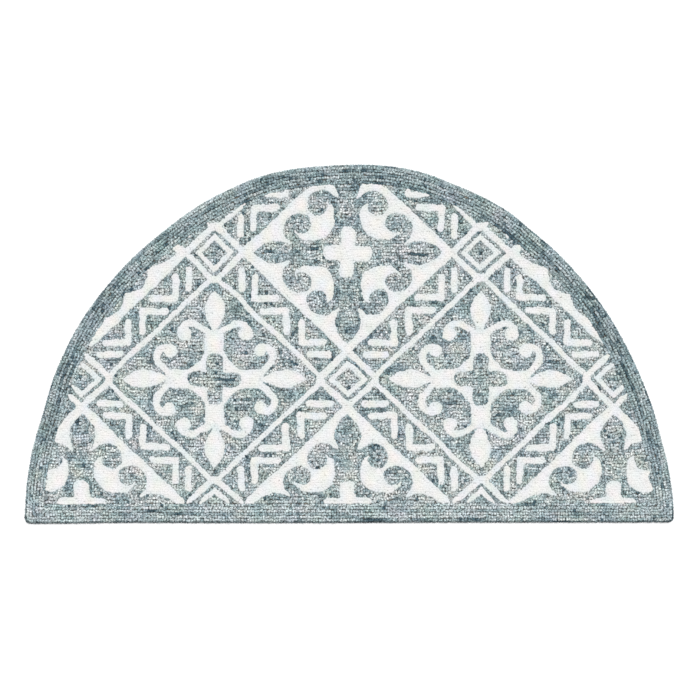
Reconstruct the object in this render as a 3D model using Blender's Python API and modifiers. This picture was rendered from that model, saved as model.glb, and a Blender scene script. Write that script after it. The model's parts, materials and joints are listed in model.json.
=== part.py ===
"""A half-round hearth rug in hooked wool pile, lying flat.

Units are metres, +Z is up. The origin is on the floor, midway along the rug's bounding box. The straight
edge, which lies along the hearth, faces -Y, and the round edge faces +Y.
The rug is one piece: its hooked pile, its foundation cloth and the hem turned under are one cloth.
"""

import math

import bmesh
import bpy
import numpy as np
from mathutils import Vector

# Size of the rug
RUG_WIDTH = 1.220
RUG_DEPTH = 0.673
THICKNESS = 0.011

# The pile rolls over at the rim, and the hem turns under with a tighter fold
PILE_ROLL = 0.0060
HEM_FOLD = 0.0020
ROLL_STEPS = 4

# The two front corners are rounded
CORNER_RADIUS = 0.010
CORNER_STEPS = 5

# Spacing of the outline's points
ROUND_STEP = math.radians(2.0)
HEM_POINTS = 24

# How far the hand-drawn round edge strays from a true half ellipse.
# bearing: degrees about the middle of the straight edge, from the right-hand end to the left-hand end
# stray: share of the ellipse's radius there, outwards
ROUND_EDGE_STRAY = (
    {"bearing": 0, "stray": 0.001},
    {"bearing": 4, "stray": 0.001},
    {"bearing": 9, "stray": -0.003},
    {"bearing": 16, "stray": -0.010},
    {"bearing": 32, "stray": -0.013},
    {"bearing": 44, "stray": -0.011},
    {"bearing": 57, "stray": -0.009},
    {"bearing": 64, "stray": -0.001},
    {"bearing": 71, "stray": -0.001},
    {"bearing": 80, "stray": 0.005},
    {"bearing": 93, "stray": 0.000},
    {"bearing": 104, "stray": 0.006},
    {"bearing": 112, "stray": 0.002},
    {"bearing": 123, "stray": -0.004},
    {"bearing": 134, "stray": -0.002},
    {"bearing": 144, "stray": 0.001},
    {"bearing": 152, "stray": -0.001},
    {"bearing": 160, "stray": -0.007},
    {"bearing": 170, "stray": 0.000},
    {"bearing": 180, "stray": 0.001},
)

# How far the straight edge strays from a true line.
# along: share of the width from the left-hand end
# stray: metres towards the hearth
STRAIGHT_EDGE_STRAY = (
    {"along": 0.00, "stray": 0.0018},
    {"along": 0.08, "stray": 0.0012},
    {"along": 0.14, "stray": 0.0000},
    {"along": 0.40, "stray": 0.0004},
    {"along": 0.70, "stray": -0.0006},
    {"along": 1.00, "stray": -0.0008},
)

# Wool seen from a step away: the mixed blue grey of the ground yarn
BLUE_WOOL_COLOUR = (0.345, 0.410, 0.425, 1.0)
BLUE_WOOL_ROUGHNESS = 0.95

COLLECTION_NAME = "half_round_hearth_rug"
RUG_NAME = "hooked_rug"


def clear_scene():
    """Removes the objects of the scene that the script starts in."""
    for item in list(bpy.data.objects):
        bpy.data.objects.remove(item, do_unlink=True)


def eased(rows, place, key):
    """The stray at a place in a table, eased from row to row by half a cosine wave."""
    places = [row[key] for row in rows]
    after = int(np.clip(np.searchsorted(places, place, side="right"), 1, len(rows) - 1))
    low, high = rows[after - 1], rows[after]
    share = min(1.0, max(0.0, (place - low[key]) / (high[key] - low[key])))
    weight = (1.0 - math.cos(math.pi * share)) / 2.0
    return low["stray"] + weight * (high["stray"] - low["stray"])


def round_edge():
    """Points of the round edge from the right-hand end to the left-hand end.

    A half ellipse about the middle of the straight edge, each point moved along its own radius by the stray.
    """
    points = []
    half_width = RUG_WIDTH / 2.0
    steps = round(math.pi / ROUND_STEP)
    for step in range(steps + 1):
        turn = math.pi * step / steps
        x, y = half_width * math.cos(turn), RUG_DEPTH * math.sin(turn)
        grown = 1.0 + eased(ROUND_EDGE_STRAY, math.degrees(math.atan2(y, x)), "bearing")
        points.append(Vector((x * grown, y * grown)))
    return points


def straight_edge():
    """Points of the straight edge from left to right, without its two ends."""
    points = []
    for step in range(1, HEM_POINTS):
        along = step / HEM_POINTS
        points.append(Vector(((along - 0.5) * RUG_WIDTH, -eased(STRAIGHT_EDGE_STRAY, along, "along"))))
    return points


def rounded_corner(before, corner, after):
    """The arc that replaces a corner: it touches both edges, and turns from one to the other about its centre."""
    to_before = (before - corner).normalized()
    to_after = (after - corner).normalized()
    half_angle = to_before.angle(to_after) / 2.0
    reach = CORNER_RADIUS / math.tan(half_angle)
    centre = corner + (to_before + to_after).normalized() * CORNER_RADIUS / math.sin(half_angle)
    first = corner + to_before * reach - centre
    turn = math.pi - 2.0 * half_angle
    arc = []
    for step in range(CORNER_STEPS + 1):
        angle = math.atan2(first.y, first.x) + turn * step / CORNER_STEPS
        arc.append(centre + Vector((math.cos(angle), math.sin(angle))) * CORNER_RADIUS)
    return arc


def outline():
    """The rug's outline, counterclockwise from above, centred front to back on the origin."""
    arc, hem = round_edge(), straight_edge()
    right_end = Vector((arc[0].x, -eased(STRAIGHT_EDGE_STRAY, 1.0, "along")))
    left_end = Vector((arc[-1].x, -eased(STRAIGHT_EDGE_STRAY, 0.0, "along")))
    arc = [point for point in arc if point.y > CORNER_RADIUS * 1.2]
    points = arc
    points += rounded_corner(arc[-1], left_end, hem[0])
    points += hem
    points += rounded_corner(hem[-1], right_end, arc[0])
    middle = Vector((
        (min(p.x for p in points) + max(p.x for p in points)) / 2.0,
        (min(p.y for p in points) + max(p.y for p in points)) / 2.0,
    ))
    return [point - middle for point in points]


def wool_material(name, colour, roughness):
    """A plain wool finish."""
    material = bpy.data.materials.new(name)
    material.use_nodes = True
    shader = material.node_tree.nodes["Principled BSDF"]
    shader.inputs["Base Color"].default_value = colour
    shader.inputs["Roughness"].default_value = roughness
    shader.inputs["Metallic"].default_value = 0.0
    return material


def flat_slab(points):
    """The cut cloth before its rim is rounded: a flat curve, filled, thickened and made a mesh."""
    curve = bpy.data.curves.new("rug_outline", "CURVE")
    curve.dimensions = "2D"
    curve.fill_mode = "BOTH"
    curve.extrude = THICKNESS / 2.0
    spline = curve.splines.new("POLY")
    spline.points.add(len(points) - 1)
    for place, point in zip(spline.points, points):
        place.co = (point.x, point.y, 0.0, 1.0)
    spline.use_cyclic_u = True
    guide = bpy.data.objects.new("rug_outline", curve)
    guide.location.z = THICKNESS / 2.0
    bpy.context.scene.collection.objects.link(guide)
    bpy.context.view_layer.update()
    graph = bpy.context.evaluated_depsgraph_get()
    mesh = bpy.data.meshes.new_from_object(guide.evaluated_get(graph))
    mesh.transform(guide.matrix_world)
    bpy.data.objects.remove(guide, do_unlink=True)
    return mesh


def mark_rims(mesh):
    """Makes the top and the underside one face each, and marks their rims for the bevel."""
    form = bmesh.new()
    form.from_mesh(mesh)
    bmesh.ops.remove_doubles(form, verts=form.verts, dist=1e-6)
    bmesh.ops.recalc_face_normals(form, faces=form.faces)
    for side in (1.0, -1.0):
        cap = [face for face in form.faces if face.normal.z * side > 0.99]
        bmesh.ops.dissolve_faces(form, faces=cap, use_verts=False)
    weight = form.edges.layers.float.new("bevel_weight_edge")
    for edge in form.edges:
        heights = [vertex.co.z for vertex in edge.verts]
        if min(heights) > THICKNESS * 0.9:
            edge[weight] = 1.0
        elif max(heights) < THICKNESS * 0.1:
            edge[weight] = HEM_FOLD / PILE_ROLL
    form.to_mesh(mesh)
    form.free()


def hooked_rug(collection):
    """The rug: a flat slab with its pile rolled over at the rim and its hem folded under."""
    mesh = flat_slab(outline())
    mark_rims(mesh)
    mesh.name = RUG_NAME
    mesh.materials.clear()
    mesh.materials.append(wool_material("blue_wool", BLUE_WOOL_COLOUR, BLUE_WOOL_ROUGHNESS))
    rug = bpy.data.objects.new(RUG_NAME, mesh)
    collection.objects.link(rug)
    roll = rug.modifiers.new("rolled_rim", "BEVEL")
    roll.limit_method = "WEIGHT"
    roll.width = PILE_ROLL
    roll.segments = ROLL_STEPS
    mesh.shade_smooth()
    mesh.set_sharp_from_angle(angle=math.radians(35.0))
    return rug


def main():
    clear_scene()
    collection = bpy.data.collections.new(COLLECTION_NAME)
    bpy.context.scene.collection.children.link(collection)
    hooked_rug(collection)


main()
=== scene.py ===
"""A half-round hearth rug in hooked wool: its loops, its foundation cloth and a plain studio.

Units are metres, +Z is up. The straight edge, which lies along the hearth, faces -Y.
Every loop of wool is modelled. The loops stand in rows: the rows of the border follow the rug's outline,
those beside the pattern's edges line up with them, and the rest run from side to side in slow waves.
The pattern is a traditional tile lattice, drawn from circles, arcs, straight strokes and leaves. Each
distance to it is negative on ivory wool and positive on blue wool.
"""

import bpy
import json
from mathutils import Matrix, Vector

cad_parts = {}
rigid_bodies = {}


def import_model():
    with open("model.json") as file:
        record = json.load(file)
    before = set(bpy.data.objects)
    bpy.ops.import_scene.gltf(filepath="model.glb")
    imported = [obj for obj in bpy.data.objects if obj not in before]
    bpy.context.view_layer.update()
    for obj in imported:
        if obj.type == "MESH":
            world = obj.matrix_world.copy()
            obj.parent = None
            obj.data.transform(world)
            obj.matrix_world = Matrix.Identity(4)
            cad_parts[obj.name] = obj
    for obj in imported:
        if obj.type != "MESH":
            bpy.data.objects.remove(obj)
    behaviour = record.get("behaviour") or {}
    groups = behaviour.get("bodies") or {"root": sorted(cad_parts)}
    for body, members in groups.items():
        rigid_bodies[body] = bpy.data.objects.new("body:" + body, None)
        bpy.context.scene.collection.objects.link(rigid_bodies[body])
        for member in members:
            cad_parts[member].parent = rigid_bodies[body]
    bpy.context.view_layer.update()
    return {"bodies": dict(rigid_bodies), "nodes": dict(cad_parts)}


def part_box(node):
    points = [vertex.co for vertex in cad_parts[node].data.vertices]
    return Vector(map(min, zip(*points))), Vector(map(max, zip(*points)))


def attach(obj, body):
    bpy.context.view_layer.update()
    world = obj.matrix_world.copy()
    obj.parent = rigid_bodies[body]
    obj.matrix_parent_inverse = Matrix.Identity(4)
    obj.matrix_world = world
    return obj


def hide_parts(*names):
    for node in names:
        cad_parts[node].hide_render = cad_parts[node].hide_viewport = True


bl_info = {
    "name": "Half-Round Hearth Rug",
    "version": (1, 0, 0),
    "blender": (4, 5, 0),
    "location": "3D View > Sidebar > Hearth Rug",
    "description": "Hooks a half-round wool hearth rug loop by loop",
    "category": "Mesh",
}

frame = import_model()

import json
import math

import bpy
import numpy as np
from bpy.props import FloatProperty, FloatVectorProperty, IntProperty, PointerProperty

RUG_NODE = "hooked_rug"
RUG_LOW, RUG_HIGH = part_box(RUG_NODE)
RUG_WIDTH = RUG_HIGH[0] - RUG_LOW[0]
RUG_DEPTH = RUG_HIGH[1] - RUG_LOW[1]
RUG_HEIGHT = RUG_HIGH[2]

# The rim's profile, as the solid has it: the pile rolls over above the height of the widest ring
ROLL_RADIUS = 0.0060
WIDEST_HEIGHT = RUG_HEIGHT - ROLL_RADIUS

# Rows of loops go down the side this far below the widest place
WALL_REACH = 0.0024
# The loops there swell out over the cloth by this much
RIM_SWELL = 0.0012

# The lattice: its middle crossing, from the middle of the rug
LATTICE_MIDDLE = (-0.0030, -0.0658)
# Ivory strokes of the bars between the tiles, from the middle of a blue tile, in its upper right quarter.
# A chevron has a corner and two arms: how far the level one and the upright one run from it
CHEVRONS = (
    {"corner": (0.0742, 0.1528), "level": 0.0430, "upright": 0.0390},
    {"corner": (0.1344, 0.1285), "level": -0.0430, "upright": -0.0390},
    {"corner": (0.1620, 0.0690), "level": 0.0430, "upright": 0.0375},
)
SHORT_STROKES = (
    {"start": (0.0493, 0.1700), "end": (0.0493, 0.2050)},
    {"start": (0.1785, 0.0460), "end": (0.2170, 0.0460)},
)
STROKE_HALF = 0.0060
# The strokes end along a line parallel to the bar's sides, this far from its middle
STROKE_LIMIT = 0.0240
# From a bar's middle to its ivory line on the blue tile's side, and to its edge on the ivory tile's side
BLUE_SIDE_LINE = 0.0312
IVORY_SIDE_EDGE = 0.0322
# Squares nested in each crossing, from its middle to the middle of their ivory lines, and half their widths
OUTER_SQUARE = {"reach": 0.0379, "half": 0.0053}
INNER_SQUARE = {"reach": 0.0212, "half": 0.0040}
# The outer square's corners are cut off inside and outside, where the distances to two sides add up to this
CUT_INSIDE = 0.0600
CUT_OUTSIDE = 0.0800

# One arm of each medallion and its scroll, from the medallion's middle: across the arm, then along it.
# The arm along Y is given first and the arm along X second
BLUE_TILE = {
    "lobe": (0.0588, 0.0607),
    "lobe_radius": 0.0395,
    "throat": (0.0395, 0.0550),
    "throat_end": (0.0388, 0.0860),
    "throat_radius": 0.0215,
    "body": 0.0880,
    "scrolls": (
        {
            "centre": (0.0455, 0.0840), "radius": 0.0200, "half": 0.0058,
            "bulb": (0.0575, 0.0845), "bulb_radius": 0.0122,
        },
        {
            "centre": (0.0415, 0.0915), "radius": 0.0189, "half": 0.0062,
            "bulb": (0.0540, 0.0852), "bulb_radius": 0.0117,
        },
    ),
    "root": (0.0080, 0.0860),
    "leaves": (
        {"start": 0.0850, "end": 0.1664, "half": 0.0182},
        {"start": 0.0850, "end": 0.1720, "half": 0.0158},
    ),
    "cross": {"length": 0.0500, "half": 0.0150, "corner": 0.0130},
    "web": 0.0030,
}
IVORY_TILE = {
    "lobe": (0.0605, 0.0620),
    "lobe_radius": 0.0365,
    "throat": (0.0450, 0.0650),
    "throat_end": (0.0412, 0.0775),
    "throat_radius": 0.0160,
    "body": 0.0930,
    "scrolls": (
        {
            "centre": (0.0475, 0.0878), "radius": 0.0198, "half": 0.0102,
            "bulb": (0.0573, 0.0885), "bulb_radius": 0.0198,
        },
        {
            "centre": (0.0445, 0.0925), "radius": 0.0187, "half": 0.0110,
            "bulb": (0.0554, 0.0863), "bulb_radius": 0.0178,
        },
    ),
    "root": (0.0120, 0.0880),
    "leaves": (
        {"start": 0.0830, "end": 0.1720, "half": 0.0245},
        {"start": 0.0830, "end": 0.1780, "half": 0.0228},
    ),
    "cross": {"length": 0.0470, "half": 0.0136, "corner": 0.0125},
    "web": 0.0080,
}
# A scroll's arc starts beside its bulb and ends above the arm's neck, in degrees from the across direction
SCROLL_START = -8.0
SCROLL_END = 120.0
# Strokes of one motif flow into each other over this length
MELT = 0.0050
# Rows of blue loops whose streaks follow the pattern's edges. tone: how much paler each is, in streaks
OUTLINE_ROWS = ({"tone": -0.235}, {"tone": 0.118})
# Corners of the ivory that the border cuts off are rounded over this length
CUT_OFF = 0.0180

# One loop of yarn, from its foot to its crown. height: share of its height. reach: share of its half size
LOOP_RINGS = (
    {"height": 0.00, "reach": 1.50},
    {"height": 0.76, "reach": 1.00},
)
LOOP_SIDES = 6
# Spread of each loop's chance parts. turn and lean are in radians, and the rest are shares of its size
CHANCE = {"turn": 0.25, "wander": 0.18, "slim": 0.12, "height": 0.045, "lean": 0.05}
# No loop reaches below this height over the floor
LOWEST = 0.0001
# Half sizes of loops in straight rows, as shares of the loop pitch and of the row pitch
FIELD_LOOP = {"along": 0.56, "across": 0.47}
BORDER_LOOP = {"along": 0.57, "across": 0.48}
# How much the loops of the field bulge past their footprint
IVORY_PLUMP = 1.46
BLUE_PLUMP = 1.08
# Painted shade deep in the pile: how much darker a blue loop's foot is painted than its crown
BLUE_DEPTH_SHADE = 0.60

# How the loops find their places: each steps this many times the way to the middle of what it owns, and is
# drawn this share of the way back to its row where it is this many rows clear of the pattern's edges
SETTLING_STEP = 1.3
SETTLING_PULL = 0.3
SETTLING_CLEAR = 1.2
# Places look for their loop within this many loop pitches
SEARCH_REACH = 1.25
# The ivory ground is wider than the pattern's strokes by this much on each side
IVORY_SWELL = 0.0004

# Tone of the border's wool, from 0, dark, to 1, pale. low: gained over the front half. front: gained at the
# front edge. right and left: lost towards each side
BORDER_TONE = {"ground": 0.50, "low": 0.17, "front": 0.055, "right": 0.03, "left": 0.10}
# How much the border streaks and drifts, as a share of the field
BORDER_STREAK = 0.8
BORDER_UNEVEN = 0.25
# Painted shade down the side of the rim, which is turned from the key light: tone and light that the wool's
# colour loses there, all round, at the front and on the left
RIM_SHADE_TONE = {"all": 0.06, "front": 0.50, "left": 0.20}
RIM_SHADE = {"all": 0.06, "front": 0.70}
# Tone of the field's blue wool, and its tint of red, green and blue
FIELD_TONE = 0.700
FIELD_TINT = (1.035, 1.010, 1.000)
# Painted shade along the pattern's edges: blue wool is darker within a reach of ivory, by a share: everywhere,
# more in the bars, and by chance
EDGE_SHADE = {"reach": 0.0028, "all": 0.16, "bars": 0.12, "chance": 0.09}
# Painted shade along the pattern's edges, cooled by the blue beside it: ivory wool beside blue loses these
# shares of red, green and blue, and e times less at each further reach
IVORY_EDGE_SHADE = {"reach": 0.004, "loss": (0.110, 0.060, 0.040)}
# How many patches of strand shade and of fibre shade there are to a metre
STRAND_SCALE = (370.0, 430.0, 400.0)
FIBRE_SCALE = (1500.0, 1500.0, 1500.0)
# The camera stands above this place
CAMERA_PLACE = (0.0014, -0.0109)

# Spacing of the foundation's points along its rim
RIM_PITCH = 0.0080
# The foundation's rim, from the middle of the underside out to the widest place and back over the top
FOUNDATION_PROFILE = (
    {"inset": 0.0290, "height": 0.0006},
    {"inset": 0.0265, "height": 0.0000},
    {"inset": 0.0026, "height": 0.0000},
    {"inset": 0.0016, "height": 0.0004},
    {"inset": 0.0020, "height": 0.0012},
    {"inset": 0.0034, "height": 0.0030},
    {"inset": 0.0050, "height": 0.0042},
    {"inset": 0.0075, "height": 0.0046},
)


class HearthRugSizes(bpy.types.PropertyGroup):
    """Sizes of the pile and the pattern that a user would change."""

    row_pitch: FloatProperty(
        name="Row pitch", description="Distance from one row of blue loops to the next",
        default=0.0056, unit="LENGTH",
    )
    loop_pitch: FloatProperty(
        name="Loop pitch", description="Distance from one blue loop to the next in its row",
        default=0.0050, unit="LENGTH",
    )
    ivory_fineness: FloatProperty(
        name="Ivory fineness", description="Spacing of the ivory loops, as a share of that of the blue ones",
        default=0.76, min=0.5, max=1.0, subtype="FACTOR",
    )
    pile_height: FloatProperty(
        name="Pile height", description="Height of a loop from its foot to its crown",
        default=0.0062, unit="LENGTH",
    )
    border_width: FloatProperty(
        name="Border width", description="Width of the plain band round the rug",
        default=0.0363, unit="LENGTH",
    )
    tile_half_width: FloatProperty(
        name="Tile half width", description="From a crossing to the next tile's middle, across",
        default=0.2500, unit="LENGTH",
    )
    tile_half_depth: FloatProperty(
        name="Tile half depth", description="From a crossing to the next tile's middle, front to back",
        default=0.2377, unit="LENGTH",
    )
    line_half: FloatProperty(
        name="Line half width", description="Half the width of the ivory line round a blue tile",
        default=0.0044, unit="LENGTH",
    )
    grain: FloatProperty(
        name="Grain", description="Spacing of the places that are shared out among the loops",
        default=0.0008, unit="LENGTH",
    )
    settling: IntProperty(
        name="Settling rounds", description="Rounds in which the loops find their places", default=7, min=1
    )
    seed: IntProperty(name="Seed", description="Picks the unevenness of the hand work", default=7)


class HearthRugYarns(bpy.types.PropertyGroup):
    """Colours of the yarns, as the share of red, green and blue light that each reflects."""

    blue_dark: FloatVectorProperty(
        name="Dark blue", description="Darkest strands of the blue yarn", subtype="COLOR", size=3,
        default=(0.058, 0.104, 0.128), min=0.0, max=1.0,
    )
    blue_middle: FloatVectorProperty(
        name="Middle blue", description="Most of the blue yarn", subtype="COLOR", size=3,
        default=(0.304, 0.390, 0.406), min=0.0, max=1.0,
    )
    blue_pale: FloatVectorProperty(
        name="Pale blue", description="Palest strands of the blue yarn", subtype="COLOR", size=3,
        default=(0.570, 0.630, 0.637), min=0.0, max=1.0,
    )
    ivory: FloatVectorProperty(
        name="Ivory", description="The undyed yarn", subtype="COLOR", size=3,
        default=(0.730, 0.725, 0.712), min=0.0, max=1.0,
    )
    cotton: FloatVectorProperty(
        name="Cotton", description="The foundation cloth", subtype="COLOR", size=3,
        default=(0.560, 0.500, 0.400), min=0.0, max=1.0,
    )
    heather: FloatProperty(
        name="Heather", description="How much the blue yarn varies from loop to loop", default=0.13, min=0.0,
        max=1.0, subtype="FACTOR",
    )
    drift: FloatProperty(
        name="Drift", description="How much the blue yarn varies from one part of the rug to another",
        default=0.095, min=0.0, max=1.0, subtype="FACTOR",
    )
    streak: FloatProperty(
        name="Streak", description="How much the blue yarn varies along and between the rows",
        default=0.17, min=0.0, max=1.0, subtype="FACTOR",
    )


class HearthRugStudio(bpy.types.PropertyGroup):
    """The studio: floor, light and camera."""

    frame_width: FloatProperty(
        name="Frame width", description="Width of the picture at the rug's pile",
        default=1.3159, unit="LENGTH",
    )
    lens: FloatProperty(name="Lens", description="Focal length of the camera", default=100.0, unit="CAMERA")
    dome_strength: FloatProperty(
        name="Dome light", description="Strength of the light from all round", default=0.62, min=0.0
    )
    key_strength: FloatProperty(
        name="Key light", description="Strength of the soft light overhead, from a little behind",
        default=2.26, min=0.0,
    )


def settings():
    """The three groups of settings of the scene: sizes, yarns and studio."""
    scene = bpy.context.scene
    return scene.hearth_rug_sizes, scene.hearth_rug_yarns, scene.hearth_rug_studio


def ripple(x, y, wavelength, seed):
    """Smooth noise with a spread of about one: eight sine waves with seeded bearings, phases and lengths."""
    rng = np.random.default_rng(seed)
    bearings, phases = rng.uniform(0.0, 2.0 * np.pi, (2, 8))
    lengths = wavelength * rng.uniform(0.7, 1.4, 8)
    total = np.zeros(np.shape(x))
    for bearing, phase, length in zip(bearings, phases, lengths):
        total += np.sin(2.0 * np.pi / length * (x * np.cos(bearing) + y * np.sin(bearing)) + phase)
    return total / 2.0


def circle(x, y, centre, radius):
    """Distance to a disc: the distance to its centre, less the radius."""
    return np.hypot(x - centre[0], y - centre[1]) - radius


def stroke(x, y, start, end, half):
    """Distance to a round-ended stroke: that to the nearest place of its middle line, less half its width."""
    run = (end[0] - start[0], end[1] - start[1])
    share = ((x - start[0]) * run[0] + (y - start[1]) * run[1]) / (run[0] ** 2 + run[1] ** 2)
    share = np.clip(share, 0.0, 1.0)
    return np.hypot(x - start[0] - share * run[0], y - start[1] - share * run[1]) - half


def arc(x, y, centre, radius, start, end, half):
    """Distance to a round-ended arc: to its circle between its ends' bearings, else to the nearer end."""
    bearing = np.degrees(np.arctan2(y - centre[1], x - centre[0]))
    on_arc = (bearing - start) % 360.0 <= end - start
    to_ends = np.full(np.shape(x), np.inf)
    for degrees in (start, end):
        turn = math.radians(degrees)
        tip = (centre[0] + radius * math.cos(turn), centre[1] + radius * math.sin(turn))
        to_ends = np.minimum(to_ends, circle(x, y, tip, 0.0))
    return np.where(on_arc, np.abs(circle(x, y, centre, radius)), to_ends) - half


def rounded_box(x, y, half_x, half_y, corner):
    """Distance to a rectangle with round corners: that to a smaller square-cornered one, less the corner."""
    out_x = np.abs(x) - half_x + corner
    out_y = np.abs(y) - half_y + corner
    outside = np.hypot(np.maximum(out_x, 0.0), np.maximum(out_y, 0.0))
    return outside + np.minimum(np.maximum(out_x, out_y), 0.0) - corner


def leaf(across, along, start, end, half):
    """Distance to a leaf: its half width is half times sin(pi t^1.15)^0.85, with t from 0 to 1."""
    t = np.clip((along - start) / (end - start), 0.0, 1.0)
    width = half * np.maximum(np.sin(np.pi * t ** 1.15), 0.0) ** 0.85
    return np.maximum((np.abs(across) - width) * 0.85, np.maximum(start - along, along - end))


def melted(one, other, length):
    """The nearer of two distances, with the step between them rounded by a parabola over the given length."""
    share = np.clip(0.5 + 0.5 * (other - one) / length, 0.0, 1.0)
    return other + (one - other) * share - length * share * (1.0 - share)


def scroll(across, along, shape, root):
    """Distance to a scroll: a stroke from the neck, an arc over the top and a round bulb at its end."""
    arc_end = math.radians(SCROLL_END)
    crest = (
        shape["centre"][0] + shape["radius"] * math.cos(arc_end),
        shape["centre"][1] + shape["radius"] * math.sin(arc_end),
    )
    curl = arc(
        across, along, shape["centre"], shape["radius"], SCROLL_START, SCROLL_END, shape["half"]
    )
    rise = stroke(across, along, root, crest, shape["half"] * 0.9)
    bulb = circle(across, along, shape["bulb"], shape["bulb_radius"])
    return np.minimum(np.minimum(curl, rise), bulb)


def medallion(x, y, tile):
    """Distance to a medallion in its upper right quarter.

    The body is a square less four round lobes, each with a throat that runs up into the scrolls. Scrolls and
    leaves are added to it, and a rounded cross is taken out of its middle.
    """
    lobe = circle(x, y, tile["lobe"], tile["lobe_radius"])
    upright = stroke(x, y, tile["throat"], tile["throat_end"], tile["throat_radius"])
    level = stroke(y, x, tile["throat"], tile["throat_end"], tile["throat_radius"])
    hollow = melted(lobe, np.minimum(upright, level), MELT)
    body = np.maximum(np.maximum(x, y) - tile["body"], -hollow)
    body = np.maximum(body, np.minimum(x - tile["lobe"][0], y - tile["lobe"][1]))
    whole = body
    for across, along, shape, petal in zip((x, y), (y, x), tile["scrolls"], tile["leaves"]):
        whole = melted(whole, scroll(across, along, shape, tile["root"]), MELT * 0.5)
        whole = melted(whole, leaf(across, along, **petal), tile["web"])
    cross = tile["cross"]
    upright = rounded_box(x, y, cross["half"], cross["length"], cross["corner"])
    level = rounded_box(x, y, cross["length"], cross["half"], cross["corner"])
    return np.maximum(whole, -melted(upright, level, MELT))


def bar_strokes(x, y):
    """Distance to the chevrons and short strokes of a bar, in the upper right quarter of a blue tile."""
    nearest = np.full(np.shape(x), np.inf)
    for chevron in CHEVRONS:
        corner = chevron["corner"]
        level_end = (corner[0] + chevron["level"], corner[1])
        upright_end = (corner[0], corner[1] + chevron["upright"])
        nearest = np.minimum(nearest, stroke(x, y, corner, level_end, STROKE_HALF))
        nearest = np.minimum(nearest, stroke(x, y, corner, upright_end, STROKE_HALF))
    for short in SHORT_STROKES:
        nearest = np.minimum(nearest, stroke(x, y, short["start"], short["end"], STROKE_HALF))
    return nearest


def folded(x, y, sizes):
    """The place in the upper right quarter of one blue tile, and the distances past and along its bar.

    The plane is first moved by a slow noise of about a millimetre, for the unevenness of hand work. It is
    then folded into that quarter, with an ivory tile's middle at the far corner and crossings at the other
    two corners. diagonal is the distance past the bar's middle line, away from the blue tile, and sideways
    is the distance from the nearer crossing along the bar.
    """
    half_x, half_y = sizes.tile_half_width, sizes.tile_half_depth
    seed = sizes.seed
    bent_x = x + 0.0010 * ripple(x, y, 0.110, seed + 1) + 0.00045 * ripple(x, y, 0.022, seed + 2)
    bent_y = y + 0.0010 * ripple(x, y, 0.110, seed + 3) + 0.00045 * ripple(x, y, 0.022, seed + 4)
    x = bent_x - LATTICE_MIDDLE[0] - half_x
    y = bent_y - LATTICE_MIDDLE[1]
    x = np.abs(x - 2.0 * half_x * np.round(x / (2.0 * half_x)))
    y = np.abs(y - 2.0 * half_y * np.round(y / (2.0 * half_y)))
    unit = 1.0 / math.hypot(1.0 / half_x, 1.0 / half_y)
    diagonal = (x / half_x + y / half_y - 1.0) * unit
    sideways = np.minimum(x / half_x + 1.0 - y / half_y, 1.0 - x / half_x + y / half_y) * unit
    return x, y, diagonal, sideways


def ivory_distance(x, y, sizes):
    """Distance to the ivory wool: negative on ivory, positive on blue.

    It is the nearest of the lattice's lines and squares, the strokes of the bars, the medallion of the blue
    tile, and the ground of the ivory tile less its medallion.
    """
    x, y, diagonal, sideways = folded(x, y, sizes)
    corner = (np.abs(diagonal) + sideways) * math.sqrt(0.5)
    line = np.maximum(
        np.abs(diagonal + BLUE_SIDE_LINE) - sizes.line_half, CUT_INSIDE * math.sqrt(0.5) - corner
    )
    outer = np.abs(sideways - OUTER_SQUARE["reach"]) - OUTER_SQUARE["half"]
    outer = np.maximum(outer, np.where(diagonal < 0.0, corner - CUT_OUTSIDE * math.sqrt(0.5), -1.0))
    inner = np.abs(sideways - INNER_SQUARE["reach"]) - INNER_SQUARE["half"]
    ivory = np.minimum(np.minimum(line, outer), inner)
    ivory = np.minimum(ivory, np.maximum(bar_strokes(x, y), np.abs(diagonal) - STROKE_LIMIT))
    in_blue_tile = diagonal + BLUE_SIDE_LINE + sizes.line_half
    ivory = np.minimum(ivory, np.maximum(medallion(x, y, BLUE_TILE), in_blue_tile))
    motif = medallion(sizes.tile_half_width - x, sizes.tile_half_depth - y, IVORY_TILE)
    ground = np.maximum(IVORY_SIDE_EDGE - diagonal, -motif)
    return np.minimum(ivory, ground)


def rug_outline():
    """The rug's outline, read from the solid's widest ring and put in order by bearing about the middle."""
    solid = frame["nodes"][RUG_NODE]
    places = np.empty(len(solid.data.vertices) * 3)
    solid.data.vertices.foreach_get("co", places)
    turn, shift = np.array(solid.matrix_world.to_3x3()), np.array(solid.matrix_world.translation)
    places = places.reshape(-1, 3) @ turn.T + shift
    ring = places[np.abs(places[:, 2] - WIDEST_HEIGHT) < 0.0001, :2]
    ring = np.unique(np.round(ring, 6), axis=0)
    return ring[np.argsort(np.arctan2(ring[:, 1], ring[:, 0]))]


OUTLINE = rug_outline()


def rim_distance(points):
    """How far each point is inside the outline, and which way is inwards, from the polygon's nearest side."""
    starts = OUTLINE
    runs = np.roll(OUTLINE, -1, axis=0) - starts
    nearest = np.full(len(points), np.inf)
    foot = np.zeros_like(points)
    for start, run in zip(starts, runs):
        share = np.clip(((points - start) @ run) / (run @ run), 0.0, 1.0)
        place = start + share[:, None] * run
        distance = np.hypot(*(points - place).T)
        nearer = distance < nearest
        nearest[nearer] = distance[nearer]
        foot[nearer] = place[nearer]
    inwards = (points - foot) / np.maximum(nearest, 1e-9)[:, None]
    return nearest, inwards


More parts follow.
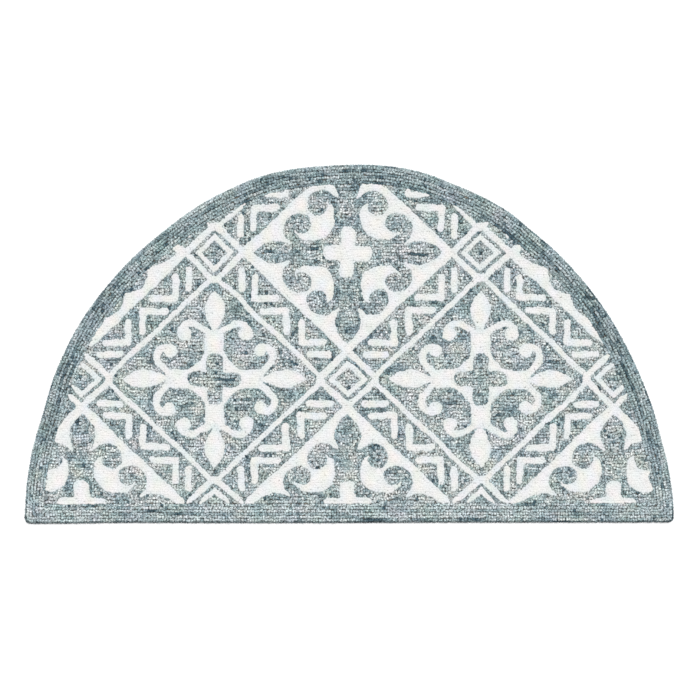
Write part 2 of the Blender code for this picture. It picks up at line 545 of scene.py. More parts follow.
def even_path(path, pitch, shift=0.0):
    """A closed path's points, a pitch apart, with the path's direction and the reach along it at each.

    The first point lies a share, shift, of a pitch past the path's own first point.
    """
    closed = np.vstack([path, path[:1]])
    reach = np.concatenate([[0.0], np.cumsum(np.hypot(*np.diff(closed, axis=0).T))])
    count = max(3, int(round(reach[-1] / pitch)))
    places = (np.arange(count) + shift) * reach[-1] / count
    even = np.stack([np.interp(places, reach, closed[:, axis]) for axis in (0, 1)], axis=1)
    ahead = np.roll(even, -1, axis=0) - np.roll(even, 1, axis=0)
    return even, ahead / np.maximum(np.hypot(*ahead.T), 1e-9)[:, None], places


def inset_path(depth, pitch=0.0030):
    """A path that lies a depth inside the outline.

    Each outline point moves inwards along the path's left-hand normal, then along its own nearest direction
    until its distance is right, which draws the corners in to a mitre.
    """
    path, ahead, _ = even_path(OUTLINE, pitch)
    path = path + depth * np.stack([-ahead[:, 1], ahead[:, 0]], axis=1)
    for _ in range(6):
        distance, inwards = rim_distance(path)
        path = path + np.maximum(depth - distance, 0.0)[:, None] * inwards
    return path


def inside_outline(points):
    """Whether each point is inside the outline.

    It is where a ray from it towards +Y crosses the polygon an odd number of times.
    """
    inside = np.zeros(len(points), dtype=bool)
    x, y = points.T
    for start, end in zip(OUTLINE, np.roll(OUTLINE, -1, axis=0)):
        spans = (start[0] > x) != (end[0] > x)
        run = end[0] - start[0] or 1e-12
        inside ^= spans & (start[1] + (x - start[0]) * (end[1] - start[1]) / run > y)
    return inside


def field_samples(sizes):
    """Places on a fine grid inside the border, with their distance to the ivory wool.

    The border cuts the pattern off, and the corners that this makes in the ivory are rounded.
    """
    x = np.arange(-RUG_WIDTH / 2.0, RUG_WIDTH / 2.0, sizes.grain)
    y = np.arange(-RUG_DEPTH / 2.0, RUG_DEPTH / 2.0, sizes.grain)
    places = np.stack(np.meshgrid(x, y), axis=-1).reshape(-1, 2)
    places = places[inside_outline(places)]
    inside = rim_distance(places)[0] - sizes.border_width
    places, inside = places[inside > 0.0], inside[inside > 0.0]
    return places, -melted(-ivory_distance(*places.T, sizes), inside + CUT_OFF / 4.0, CUT_OFF)


def nearest_points(places, points, cell):
    """The number of the nearest point to each place, or -1 where none is near.

    Points are sorted into square cells. Each place is compared with the points of its own cell and of the
    eight round it.
    """
    low = places.min(axis=0) - 2.0 * cell
    columns = int((places[:, 0].max() - low[0]) / cell) + 4
    lines = int((places[:, 1].max() - low[1]) / cell) + 4
    point_cells = np.clip(((points - low) / cell).astype(np.int64), 1, [columns - 2, lines - 2])
    point_keys = point_cells[:, 1] * columns + point_cells[:, 0]
    place_cells = ((places - low) / cell).astype(np.int64)
    place_keys = place_cells[:, 1] * columns + place_cells[:, 0]
    order = np.argsort(point_keys, kind="stable")
    counts = np.bincount(point_keys, minlength=columns * lines)
    firsts = np.cumsum(counts) - counts
    slots = np.arange(len(points)) - firsts[point_keys[order]]
    table = np.full((counts.max(), columns * lines), len(points))
    table[slots, point_keys[order]] = order
    far = np.vstack([points, [[1e3, 1e3]]]).astype(np.float32)
    x, y = places.astype(np.float32).T
    best = np.full(len(places), np.float32(1e3))
    owner = np.full(len(places), -1)
    for step in (0, -1, 1, -columns, columns, -columns - 1, -columns + 1, columns - 1, columns + 1):
        for slot in table:
            found = slot[place_keys + step]
            distance = (x - far[found, 0]) ** 2 + (y - far[found, 1]) ** 2
            nearer = distance < best
            best = np.where(nearer, distance, best)
            owner = np.where(nearer, found, owner)
    return owner


def row_wave(x, y, sizes):
    """How far the field's rows bend to the front at each place: smooth noise of about two millimetres."""
    return 0.0018 * ripple(x, y, 0.050, sizes.seed + 12)


def settled(places, fineness, sizes, seed):
    """Where the loops of one yarn stand, and the footprint of each.

    The loops start in a brick pattern. Each place on the yarn's own ground belongs to its nearest loop, where
    a distance across the rows counts more by the ratio of the two pitches. In each round every loop steps
    past the middle of what it owns, and those clear of the pattern's edges are drawn part of the way back to
    their row. So the loops spread evenly, and line up along the edges. A footprint is the bearing of the
    longer axis of what a loop owns and its two half sizes, each the square root of three times the variance.
    Loops clear of the edges lie along their row instead. fineness is the spacing as a share of the blue
    loops'.
    """
    pitch, row = fineness * sizes.loop_pitch, fineness * sizes.row_pitch
    rng = np.random.default_rng(seed)
    x, y = np.meshgrid(
        np.arange(-RUG_WIDTH / 2.0, RUG_WIDTH / 2.0, pitch), (np.arange(RUG_DEPTH // row + 1) + 0.5) * row
    )
    x = x + rng.uniform(0.0, pitch, len(x))[:, None]
    points = np.stack([x.ravel(), y.ravel() - RUG_DEPTH / 2.0], axis=1)
    low = np.minimum(places.min(axis=0), points.min(axis=0))
    cells, ground = (np.round((each - low) / sizes.grain).astype(np.int64) for each in (points, places))
    points = points[np.isin(cells @ [1, 10000], ground @ [1, 10000])]
    stretch = np.array([1.0, pitch / row])
    for _ in range(sizes.settling):
        owner = nearest_points(places * stretch, points * stretch, SEARCH_REACH * pitch)
        middle, _, owned = owned_ground(places, owner, len(points))
        middle, points = middle[owned > 0], points[owned > 0]
        moved = points + SETTLING_STEP * (middle - points)
        wave = row_wave(*moved.T, sizes)
        level = (np.floor((moved[:, 1] + wave + RUG_DEPTH / 2.0) / row) + 0.5) * row - RUG_DEPTH / 2.0 - wave
        clear = np.abs(ivory_distance(*moved.T, sizes)) > SETTLING_CLEAR * row
        moved[:, 1] += np.where(clear, SETTLING_PULL * (level - moved[:, 1]), 0.0)
        points = moved
    owner = nearest_points(places * stretch, points * stretch, SEARCH_REACH * pitch)
    middle, spread, owned = owned_ground(places, owner, len(points))
    bearing = 0.5 * np.arctan2(2.0 * spread[2], spread[0] - spread[1])
    mean, swing = (spread[0] + spread[1]) / 2.0, np.hypot((spread[0] - spread[1]) / 2.0, spread[2])
    halves = np.sqrt(3.0 * np.stack([mean + swing, np.maximum(mean - swing, 0.0)], axis=1))
    clear = np.abs(ivory_distance(*middle.T, sizes)) > SETTLING_CLEAR * row
    bearing = np.where(clear, 0.0, bearing)
    straight = [FIELD_LOOP["along"] * pitch, FIELD_LOOP["across"] * row]
    halves = np.where(clear[:, None], straight, halves)
    enough = owned * sizes.grain ** 2 > 0.25 * pitch * row
    return middle[enough], bearing[enough], np.clip(halves[enough], 0.34 * pitch, 0.85 * pitch)


def owned_ground(places, owner, count):
    """The middle of what each loop owns, its variance in X, in Y and between them, and its count of places."""
    places, owner = places[owner >= 0], owner[owner >= 0]
    owned = np.bincount(owner, minlength=count)
    share = np.maximum(owned, 1)
    middle = np.stack([np.bincount(owner, places[:, axis], count) / share for axis in (0, 1)], axis=1)
    off = places - middle[owner]
    spread = [
        np.bincount(owner, product, count) / share
        for product in (off[:, 0] ** 2, off[:, 1] ** 2, off[:, 0] * off[:, 1])
    ]
    return middle, spread, owned


def flecks(rng, shape):
    """Chance values with a mean of zero and a spread of one, of which a few are far below the rest.

    Each is 1 less a value of the exponential distribution.
    """
    return 1.0 - rng.exponential(1.0, shape)


def streaks(row, along, length, seed):
    """Noise with a spread of about one that runs along each row, with a few places far darker than the rest.

    Each row has its own chance values at knots a length apart, eased from knot to knot by 3t^2 - 2t^3. Each
    value is 2 less one of the gamma distribution of shape 2, over that one's spread, and raised by a third
    because the easing evens them out.
    """
    knots = 512
    rng = np.random.default_rng(seed)
    row = row - row.min()
    table = 1.35 * (2.0 - rng.gamma(2.0, 1.0, (int(row.max()) + 1, knots))) / math.sqrt(2.0)
    place = along / length + rng.uniform(0.0, 100.0, len(table))[row]
    knot = np.floor(place).astype(np.int64)
    ease = (place - knot) ** 2 * (3.0 - 2.0 * (place - knot))
    return table[row, knot % knots] * (1.0 - ease) + table[row, (knot + 1) % knots] * ease


def row_streaks(row, along, seed):
    """Long and short streaks along each row, with a spread of about one."""
    return 0.9 * streaks(row, along, 0.045, seed) + 0.5 * streaks(row, along, 0.014, seed + 1)


def outline_streaks(x, y, distance, sizes, seed):
    """Streaks in the rows that follow the pattern's edges, and each loop's row, counted from the edge.

    Each place goes back to the nearest edge, along the slope of the distance, and takes smooth noise from
    there, with other chance values for each row. The tone of the row is added.
    """
    step = 0.0005
    slopes = [
        (ivory_distance(x + step, y, sizes) - distance) / step,
        (ivory_distance(x, y + step, sizes) - distance) / step,
    ]
    steep = np.maximum(slopes[0] ** 2 + slopes[1] ** 2, 0.25)
    edge_x, edge_y = x - distance * slopes[0] / steep, y - distance * slopes[1] / steep
    row = np.floor(distance / sizes.row_pitch)
    streak = np.zeros(len(x))
    for number, outline_row in enumerate(OUTLINE_ROWS):
        noise = 0.8 * ripple(edge_x, edge_y, 0.034, seed + number)
        noise = noise + 0.6 * ripple(edge_x, edge_y, 0.010, seed + 10 + number)
        streak = np.where(row == number, noise + outline_row["tone"], streak)
    return streak, row


def blue_yarn(x, y, streak, tone, uneven, yarns, seed):
    """The blue yarn's colour at each loop.

    A shade from 0, dark, to 1, pale, is the tone, plus streaks, a chance part for each loop and a part that
    drifts over the rug as dye lots do, as far as uneven says. The colour goes through the dark, middle and
    pale strands. Where the yarn drifts to pale it leans to grey as well, and where it drifts to dark it leans
    to blue. Here and there it leans to purple or to green.
    """
    rng = np.random.default_rng(seed)
    drift = 0.8 * ripple(x, y, 0.080, seed + 3) + 0.6 * ripple(x, y, 0.030, seed + 6)
    drift = uneven * (drift + 0.5 * ripple(x, y, 0.200, seed + 7))
    shade = tone + yarns.streak * streak + yarns.heather * flecks(rng, len(x)) + yarns.drift * drift
    stops = np.array([yarns.blue_dark, yarns.blue_middle, yarns.blue_pale])
    shade = np.clip(shade, 0.0, 1.0)
    colour = np.stack([np.interp(shade, (0.0, 0.5, 1.0), stops[:, band]) for band in range(3)], axis=1)
    lean = 0.015 * drift + 0.017 * ripple(x, y, 0.050, seed + 4) + 0.006 * rng.normal(0.0, 1.0, len(x))
    purple = 0.014 * ripple(x, y, 0.040, seed + 5) + 0.012 * ripple(x, y, 0.120, seed + 8)
    return colour * np.stack([1.0 + lean + purple, np.ones(len(x)), 1.0 - 0.7 * lean + purple], axis=1)


def ivory_yarn(x, y, yarns, seed):
    """The ivory yarn's colour at each loop: undyed wool, a little uneven and a little pinker in places."""
    rng = np.random.default_rng(seed)
    bright = 1.0 + 0.012 * rng.normal(0.0, 1.0, len(x)) + 0.010 * ripple(x, y, 0.030, seed + 1)
    red, blue = (1.0 + 0.018 * ripple(x, y, 0.040, seed + number) for number in (2, 3))
    return np.array(yarns.ivory) * np.stack([bright * red, bright, bright * blue], axis=1)


def loop_shape():
    """One loop of unit half size and unit height: its vertices and its faces."""
    turns = np.arange(LOOP_SIDES) * 2.0 * np.pi / LOOP_SIDES
    vertices = []
    for number, ring in enumerate(LOOP_RINGS):
        twist = turns + number * np.pi / LOOP_SIDES
        height = np.full(LOOP_SIDES, ring["height"])
        around = ring["reach"] * np.array([np.cos(twist), np.sin(twist)])
        vertices.append(np.vstack([around, height]).T)
    vertices = np.vstack(vertices + [[[0.0, 0.0, 1.0]]])
    faces = []
    for lower in range(len(LOOP_RINGS) - 1):
        base = lower * LOOP_SIDES
        for side in range(LOOP_SIDES):
            after = (side + 1) % LOOP_SIDES
            here, there = base + side, base + after
            above, above_after = here + LOOP_SIDES, there + LOOP_SIDES
            faces += [(here, there, above), (there, above_after, above)]
    crown, last = len(vertices) - 1, (len(LOOP_RINGS) - 1) * LOOP_SIDES
    faces += [(last + side, last + (side + 1) % LOOP_SIDES, crown) for side in range(LOOP_SIDES)]
    faces += [(0, side + 1, side) for side in range(1, LOOP_SIDES - 1)]
    return vertices, np.array(faces)


def even_shade(x, y):
    """No darkening."""
    return np.ones(np.shape(x))[..., None]


def loop_mesh(name, centres, ahead, up, halves, colours, depth_shade, material, sizes, seed, shade_at=even_shade):
    """One mesh of many loops.

    Each loop's vertex is its centre, plus the unit loop's three coordinates times the loop's half length
    along its row, half width across it and height along its normal. Places, sizes, heights and bearings vary
    by chance. Each vertex takes its loop's colour times the shade at its own place. Shade between the loops is
    painted as well: a vertex is darker deep in the pile, by the depth shade times its share of the height
    below the crown, to the power 0.8.
    """
    rng = np.random.default_rng(seed)
    count = len(centres)
    vertices, faces = loop_shape()
    turn = rng.normal(0.0, CHANCE["turn"], count)
    side = np.cross(up, ahead)
    row = ahead * np.cos(turn)[:, None] + side * np.sin(turn)[:, None]
    side = np.cross(up, row)
    wander = halves * rng.normal(0.0, CHANCE["wander"], (count, 2))
    centres = centres + wander[:, :1] * row + wander[:, 1:] * side
    slim = np.exp(rng.normal(0.0, CHANCE["slim"], count))
    half_length, half_width = halves[:, 0] * slim, halves[:, 1] / slim
    height = sizes.pile_height * rng.normal(1.0, CHANCE["height"], count)
    lean = rng.normal(0.0, CHANCE["lean"], (count, 2))
    crown = up + lean[:, :1] * row + lean[:, 1:] * side
    foot = centres - up * sizes.pile_height
    places = (
        foot[:, None, :]
        + vertices[None, :, 0, None] * (half_length[:, None] * row)[:, None, :]
        + vertices[None, :, 1, None] * (half_width[:, None] * side)[:, None, :]
        + vertices[None, :, 2, None] * (height[:, None] * crown)[:, None, :]
    )
    places[:, :, 2] = np.maximum(places[:, :, 2], LOWEST)
    corners = (faces[None] + (np.arange(count) * len(vertices))[:, None, None]).reshape(-1)
    mesh = bpy.data.meshes.new(name)
    mesh.vertices.add(count * len(vertices))
    mesh.vertices.foreach_set("co", places.reshape(-1))
    mesh.loops.add(len(corners))
    mesh.loops.foreach_set("vertex_index", corners)
    mesh.polygons.add(len(corners) // 3)
    mesh.polygons.foreach_set("loop_start", np.arange(0, len(corners), 3))
    mesh.update(calc_edges=True)
    mesh.shade_smooth()
    yarn = mesh.color_attributes.new("yarn_colour", "FLOAT_COLOR", "POINT")
    rgba = np.ones((count, len(vertices), 4))
    # Painted shade between the loops: each vertex is darker the lower it lies in its loop
    deep = 1.0 - depth_shade * (1.0 - vertices[:, 2]) ** 0.8
    rgba[:, :, :3] = colours[:, None, :] * shade_at(places[:, :, 0], places[:, :, 1]) * deep[None, :, None]
    yarn.data.foreach_set("color", rgba.reshape(-1))
    flat_map(mesh, places.reshape(-1, 3)[corners, :2])
    mesh.materials.append(material)
    piece = bpy.data.objects.new(name, mesh)
    bpy.context.scene.collection.objects.link(piece)
    return piece


def flat_map(mesh, places):
    """A UV map seen from above: each corner's X and Y as a share of the mesh's own box."""
    low, high = places.min(axis=0), places.max(axis=0)
    shares = 0.005 + 0.99 * (places - low) / (high - low)
    layer = mesh.uv_layers.new(name="OFBake")
    layer.uv.foreach_set("vector", shares.reshape(-1))


def wool_material(name, strand_depth):
    """Wool yarn: the loop's own colour, with darker and paler strands, fine fibres, a soft sheen and a bump.

    The colour is the loop's own, times a strand shade from noise 2.5 mm across, times a fibre shade from
    noise 0.7 mm across.
    """
    material = bpy.data.materials.new(name)
    material.use_nodes = True
    nodes, links = material.node_tree.nodes, material.node_tree.links
    shader = nodes["Principled BSDF"]
    shader.inputs["Roughness"].default_value = 0.95
    shader.inputs["Sheen Weight"].default_value = 0.08
    shader.inputs["Sheen Roughness"].default_value = 0.6
    shader.inputs["Specular IOR Level"].default_value = 0.15
    place = nodes.new("ShaderNodeTexCoord")
    yarn = nodes.new("ShaderNodeAttribute")
    yarn.attribute_name = "yarn_colour"
    colour = yarn.outputs["Color"]
    for scale, depth in ((STRAND_SCALE, strand_depth), (FIBRE_SCALE, strand_depth * 0.3)):
        fit = nodes.new("ShaderNodeMapping")
        fit.inputs["Scale"].default_value = scale
        links.new(place.outputs["Object"], fit.inputs["Vector"])
        noise = nodes.new("ShaderNodeTexNoise")
        noise.inputs["Scale"].default_value = 1.0
        noise.inputs["Detail"].default_value = 1.5
        links.new(fit.outputs["Vector"], noise.inputs["Vector"])
        shade = nodes.new("ShaderNodeMapRange")
        shade.inputs["From Min"].default_value = 0.36
        shade.inputs["From Max"].default_value = 0.64
        shade.inputs["To Min"].default_value = 1.0 - depth
        shade.inputs["To Max"].default_value = 1.0 + depth
        links.new(noise.outputs["Fac"], shade.inputs["Value"])
        product = nodes.new("ShaderNodeVectorMath")
        product.operation = "SCALE"
        links.new(colour, product.inputs[0])
        links.new(shade.outputs["Result"], product.inputs["Scale"])
        colour = product.outputs["Vector"]
    links.new(colour, shader.inputs["Base Color"])
    bump = nodes.new("ShaderNodeBump")
    bump.inputs["Strength"].default_value = 0.35
    bump.inputs["Distance"].default_value = 0.0005
    links.new(noise.outputs["Fac"], bump.inputs["Height"])
    links.new(bump.outputs["Normal"], shader.inputs["Normal"])
    return material


def cotton_material(colour):
    """The foundation: plain cotton weave, crossed threads 0.9 mm apart that show in colour and bump."""
    material = bpy.data.materials.new("foundation_cotton")
    material.use_nodes = True
    nodes, links = material.node_tree.nodes, material.node_tree.links
    shader = nodes["Principled BSDF"]
    shader.inputs["Roughness"].default_value = 0.9
    place = nodes.new("ShaderNodeTexCoord")
    heights = []
    for direction in ("X", "Y"):
        threads = nodes.new("ShaderNodeTexWave")
        threads.wave_type = "BANDS"
        threads.bands_direction = direction
        threads.inputs["Scale"].default_value = 350.0
        threads.inputs["Distortion"].default_value = 0.6
        threads.inputs["Detail"].default_value = 1.0
        links.new(place.outputs["Object"], threads.inputs["Vector"])
        heights.append(threads.outputs["Fac"])
    weave = nodes.new("ShaderNodeMath")
    weave.operation = "MULTIPLY"
    links.new(heights[0], weave.inputs[0])
    links.new(heights[1], weave.inputs[1])
    tint = nodes.new("ShaderNodeValToRGB")
    tint.color_ramp.elements[0].color = (*[band * 0.6 for band in colour], 1.0)
    tint.color_ramp.elements[1].color = (*colour, 1.0)
    links.new(weave.outputs["Value"], tint.inputs["Fac"])
    links.new(tint.outputs["Color"], shader.inputs["Base Color"])
    bump = nodes.new("ShaderNodeBump")
    bump.inputs["Strength"].default_value = 0.5
    bump.inputs["Distance"].default_value = 0.0003
    links.new(weave.outputs["Value"], bump.inputs["Height"])
    links.new(bump.outputs["Normal"], shader.inputs["Normal"])
    return material


def shared_material(name, make):
    """The material of that name, made once."""
    return bpy.data.materials.get(name) or make()


def blue_wool():
    """The heathered blue yarn."""
    return shared_material("blue_heather_wool", lambda: wool_material("blue_heather_wool", 0.62))


def ivory_wool():
    """The undyed yarn."""
    return shared_material("ivory_wool", lambda: wool_material("ivory_wool", 0.03))


def on_rug(piece):
    """The piece lies with the rug."""
    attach(piece, "root" if "root" in frame["bodies"] else list(frame["bodies"])[0])


class HEARTHRUG_OT_hook_border(bpy.types.Operator):
    """Hooks the plain border in rows that follow the outline, over the rim's roll and down its side"""

    bl_idname = "hearth_rug.hook_border"
    bl_label = "Hook Border"

    def execute(self, context):
        """Places each row by its reach along the rim's profile: up the side, round the roll, then inwards."""
        sizes, yarns, _ = settings()
        roll_length = ROLL_RADIUS * math.pi / 2.0
        last = sizes.border_width - ROLL_RADIUS + roll_length - sizes.row_pitch / 2.0
        count = int(round((last + WALL_REACH) / sizes.row_pitch)) + 1
        row_step = (last + WALL_REACH) / (count - 1)
        rng = np.random.default_rng(sizes.seed + 10)
        centres, tangents, normals, alongs, rows = [], [], [], [], []
        for number in range(count):
            reach = last - number * row_step
            turn = min(max(reach / ROLL_RADIUS, 0.0), math.pi / 2.0)
            rolled = ROLL_RADIUS * (1.0 - math.cos(turn))
            depth = max(reach - roll_length, 0.0) + rolled - RIM_SWELL * math.cos(turn)
            height = WIDEST_HEIGHT + ROLL_RADIUS * math.sin(turn) + min(reach, 0.0)
            path, ahead, along = even_path(inset_path(depth), sizes.loop_pitch, rng.uniform())
            true = rim_distance(path)[0] > depth - 0.0004
            path, ahead, along = path[true], ahead[true], along[true]
            inwards = np.stack([-ahead[:, 1], ahead[:, 0]], axis=1)
            up = np.column_stack([-inwards * math.cos(turn), np.full(len(path), math.sin(turn))])
            centres.append(np.column_stack([path, np.full(len(path), height)]))
            tangents.append(np.column_stack([ahead, np.zeros(len(path))]))
            normals.append(up)
            alongs.append(along)
            rows.append(np.full(len(path), number))
        centres, tangents, normals = map(np.vstack, (centres, tangents, normals))
        along, row = map(np.concatenate, (alongs, rows))
        x, y = centres[:, 0], centres[:, 1]
        front = np.clip(-y / (RUG_DEPTH / 2.0) * 4.0 - 3.0, 0.0, 1.0)
        low = np.clip(-y / (RUG_DEPTH / 2.0) * 2.5 - 1.0, 0.0, 1.0)
        side = x / (RUG_WIDTH / 2.0)
        left = np.clip(-2.0 * side - 1.0, 0.0, 1.0)
        fall = np.clip((RUG_HEIGHT - centres[:, 2]) / ROLL_RADIUS, 0.0, 1.0) ** 0.7
        tone = BORDER_TONE["ground"] + BORDER_TONE["low"] * low + BORDER_TONE["front"] * front
        tone = tone - BORDER_TONE["right"] * side - BORDER_TONE["left"] * left * (1.0 - low)
        # Painted shade: the wool's tone falls down the side of the rim, most at the front and on the left
        tone = tone - (RIM_SHADE_TONE["all"] + RIM_SHADE_TONE["front"] * front + RIM_SHADE_TONE["left"] * left) * fall
        streak = BORDER_STREAK * row_streaks(row, along, sizes.seed + 40)
        colours = blue_yarn(x, y, streak, tone, BORDER_UNEVEN, yarns, sizes.seed + 20)
        # Painted shade: the wool's colour is darker still down the side of the rim, most at the front
        colours = colours * (1.0 - (RIM_SHADE["all"] + RIM_SHADE["front"] * front) * fall ** 0.8)[:, None]
        loop = [sizes.loop_pitch * BORDER_LOOP["along"], row_step * BORDER_LOOP["across"]]
        halves = np.tile(loop, (len(x), 1))
        piece = loop_mesh(
            "border_loops", centres, tangents, normals, halves, colours, BLUE_DEPTH_SHADE, blue_wool(), sizes,
            sizes.seed + 30,
        )
        on_rug(piece)
        return {"FINISHED"}


class HEARTHRUG_OT_hook_field(bpy.types.Operator):
    """Hooks the pattern inside the border, in ivory and in blue"""

    bl_idname = "hearth_rug.hook_field"
    bl_label = "Hook Field"

    def execute(self, context):
        """Shares out the ivory ground and the blue ground among their loops, and makes them part by part."""
        sizes, yarns, _ = settings()
        places, distance = field_samples(sizes)

        def beside_ivory(x, y):
            """Painted shade along the pattern's edges: blue is darker within about 3 mm of ivory, most of all
            in the bars, by a depth that varies.
            """
            in_bar = np.abs(folded(x, y, sizes)[2]) < BLUE_SIDE_LINE
            chance = EDGE_SHADE["chance"] * ripple(x, y, 0.050, sizes.seed + 5)
            depth = EDGE_SHADE["all"] + EDGE_SHADE["bars"] * in_bar + chance
            away = ivory_distance(x, y, sizes) / EDGE_SHADE["reach"]
            return (1.0 - depth * np.exp(-away ** 2))[..., None]

        def beside_blue(x, y):
            """Painted shade along the pattern's edges, cooled by the blue beside it: ivory is cooler and a
            little darker beside blue, by a factor of e less for every 4 mm.
            """
            near = np.exp(np.minimum(ivory_distance(x, y, sizes), 0.0) / IVORY_EDGE_SHADE["reach"])
            return 1.0 - near[..., None] * IVORY_EDGE_SHADE["loss"]

        on_ivory = distance < IVORY_SWELL
        sets = (
            {
                "yarn": "ivory", "ground": on_ivory, "parts": ("left", "right"), "make": ivory_wool,
                "shade_at": beside_blue, "plump": IVORY_PLUMP, "fineness": sizes.ivory_fineness, "depth_shade": 0.0,
            },
            {
                "yarn": "blue", "ground": ~on_ivory, "parts": ("left", "middle", "right"), "make": blue_wool,
                "shade_at": beside_ivory, "plump": BLUE_PLUMP, "fineness": 1.0, "depth_shade": BLUE_DEPTH_SHADE,
            },
        )
        for group in sets:
            ground = places[group["ground"]]
            points, bearing, halves = settled(ground, group["fineness"], sizes, sizes.seed + 40)
            halves = halves * group["plump"]
            x, y = points.T
            if group["yarn"] == "ivory":
                colours = ivory_yarn(x, y, yarns, sizes.seed + 50)
            else:
                row = np.floor((y + row_wave(x, y, sizes) + RUG_DEPTH / 2.0) / sizes.row_pitch)
                level = row_streaks(row.astype(np.int64), x, sizes.seed + 90)
                away = ivory_distance(x, y, sizes)
                outlines, outline_row = outline_streaks(x, y, away, sizes, sizes.seed + 80)
                streak = np.where(outline_row < len(OUTLINE_ROWS), outlines, level)
                colours = blue_yarn(x, y, streak, FIELD_TONE, 1.0, yarns, sizes.seed + 60) * FIELD_TINT
            centres = np.column_stack([points, np.full(len(x), RUG_HEIGHT)])
            ahead = np.column_stack([np.cos(bearing), np.sin(bearing), np.zeros(len(x))])
            up = np.tile([0.0, 0.0, 1.0], (len(x), 1))
            bounds = np.quantile(x, np.linspace(0.0, 1.0, len(group["parts"]) + 1))
            bounds[-1] += 1.0
            for number, part in enumerate(group["parts"]):
                chosen = (x >= bounds[number]) & (x < bounds[number + 1])
                piece = loop_mesh(
                    f"{group['yarn']}_loops_{part}", centres[chosen], ahead[chosen], up[chosen],
                    halves[chosen], colours[chosen], group["depth_shade"], group["make"](), sizes,
                    sizes.seed + 70 + number, group["shade_at"],
                )
                on_rug(piece)
        return {"FINISHED"}


class HEARTHRUG_OT_lay_foundation(bpy.types.Operator):
    bl_idname = "hearth_rug.lay_foundation"
    bl_label = "Lay Foundation"

    def execute(self, context):
        """Carries the rim's profile round the outline and closes the underside and the top with fans."""
        _, yarns, _ = settings()
        count = len(even_path(OUTLINE, RIM_PITCH)[0])
        rings = [
            np.column_stack([inset_path(row["inset"], RIM_PITCH), np.full(count, row["height"])])
            for row in FOUNDATION_PROFILE
        ]
        low = np.array([[0.0, 0.0, FOUNDATION_PROFILE[0]["height"]]])
        high = np.array([[0.0, 0.0, FOUNDATION_PROFILE[-1]["height"]]])
        vertices = np.vstack(rings + [low, high])
        here = np.arange(count)
        after = (here + 1) % count
        quads = [
            np.stack([base + here, base + after, base + after + count, base + here + count], axis=1)
            for base in np.arange(len(rings) - 1) * count
        ]
        last = (len(rings) - 1) * count
        underside = np.stack([after, here, np.full(count, len(vertices) - 2)], axis=1)
        top = np.stack([last + here, last + after, np.full(count, len(vertices) - 1)], axis=1)
        mesh = bpy.data.meshes.new("foundation_cloth")
        faces = np.vstack(quads).tolist() + underside.tolist() + top.tolist()
        mesh.from_pydata(vertices.tolist(), [], faces)
        mesh.update()
        mesh.shade_smooth()
        mesh.set_sharp_from_angle(angle=math.radians(40.0))
        mesh.materials.append(shared_material("foundation_cotton", lambda: cotton_material(yarns.cotton)))
        cloth = bpy.data.objects.new("foundation_cloth", mesh)
        bpy.context.scene.collection.objects.link(cloth)
        on_rug(cloth)
        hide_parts(RUG_NODE)
        return {"FINISHED"}


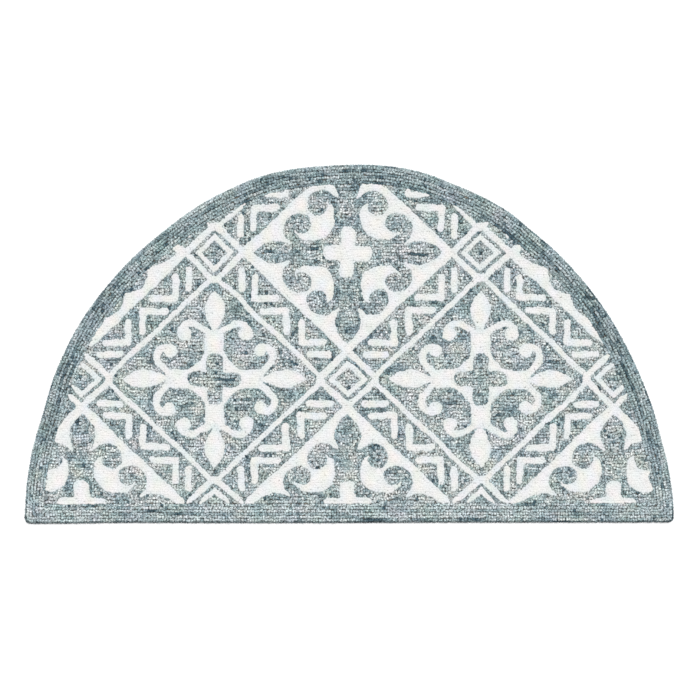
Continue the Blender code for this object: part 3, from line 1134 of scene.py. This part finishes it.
class HEARTHRUG_OT_set_studio(bpy.types.Operator):
    """Sets the pale floor, the soft light and the camera straight above the rug"""

    bl_idname = "hearth_rug.set_studio"
    bl_label = "Set Studio"

    def execute(self, context):
        """The camera's height is what puts the frame's width at the pile inside its field of view."""
        _, _, studio = settings()
        scene = context.scene
        bpy.ops.mesh.primitive_plane_add(size=60.0, location=(0.0, 0.0, -0.0004))
        floor = context.object
        floor.name = "studio_floor"
        paper = bpy.data.materials.new("studio_floor")
        paper.use_nodes = True
        shader = paper.node_tree.nodes["Principled BSDF"]
        shader.inputs["Base Color"].default_value = (0.94, 0.945, 0.95, 1.0)
        shader.inputs["Roughness"].default_value = 1.0
        floor.data.materials.append(paper)
        world = bpy.data.worlds.new("studio_dome")
        world.use_nodes = True
        background = world.node_tree.nodes["Background"]
        background.inputs["Color"].default_value = (1.0, 1.0, 1.0, 1.0)
        background.inputs["Strength"].default_value = studio.dome_strength
        scene.world = world
        key = bpy.data.lights.new("key_light", "SUN")
        key.energy = studio.key_strength
        key.angle = math.radians(30.0)
        lamp = bpy.data.objects.new("key_light", key)
        lamp.location = (0.2, 0.9, 3.0)
        lamp.rotation_euler = lamp.location.to_track_quat("Z", "Y").to_euler()
        scene.collection.objects.link(lamp)
        camera = bpy.data.cameras.new("camera")
        camera.lens = studio.lens
        camera.sensor_width = 36.0
        camera.clip_end = 50.0
        eye = bpy.data.objects.new("camera", camera)
        eye.location = (*CAMERA_PLACE, RUG_HEIGHT + studio.frame_width * studio.lens / camera.sensor_width)
        scene.collection.objects.link(eye)
        scene.camera = eye
        scene.view_settings.view_transform = "Standard"
        return {"FINISHED"}


class HEARTHRUG_PT_panel(bpy.types.Panel):
    """Lists the rug's settings and the steps that make it"""

    bl_idname = "HEARTHRUG_PT_panel"
    bl_label = "Hearth Rug"
    bl_space_type = "VIEW_3D"
    bl_region_type = "UI"
    bl_category = "Hearth Rug"

    def draw(self, context):
        """Draws the settings of each group, then a button for each step."""
        for group in settings():
            box = self.layout.box()
            for name in group.bl_rna.properties.keys():
                if name not in {"rna_type", "name"}:
                    box.prop(group, name)
        for step in STEPS:
            self.layout.operator(step.bl_idname)


STEPS = (
    HEARTHRUG_OT_hook_border,
    HEARTHRUG_OT_hook_field,
    HEARTHRUG_OT_lay_foundation,
    HEARTHRUG_OT_set_studio,
)
GROUPS = (HearthRugSizes, HearthRugYarns, HearthRugStudio)


def register():
    """Registers the classes and gives the scene its settings."""
    for item in GROUPS + STEPS + (HEARTHRUG_PT_panel,):
        bpy.utils.register_class(item)
    bpy.types.Scene.hearth_rug_sizes = PointerProperty(type=HearthRugSizes)
    bpy.types.Scene.hearth_rug_yarns = PointerProperty(type=HearthRugYarns)
    bpy.types.Scene.hearth_rug_studio = PointerProperty(type=HearthRugStudio)


def unregister():
    """Takes the settings and the classes away again."""
    del bpy.types.Scene.hearth_rug_sizes
    del bpy.types.Scene.hearth_rug_yarns
    del bpy.types.Scene.hearth_rug_studio
    for item in reversed(GROUPS + STEPS + (HEARTHRUG_PT_panel,)):
        bpy.utils.unregister_class(item)


def main():
    """Makes the rug and the studio step by step."""
    register()
    bpy.ops.hearth_rug.hook_border()
    bpy.ops.hearth_rug.hook_field()
    bpy.ops.hearth_rug.lay_foundation()
    bpy.ops.hearth_rug.set_studio()


if __name__ == "__main__":
    main()
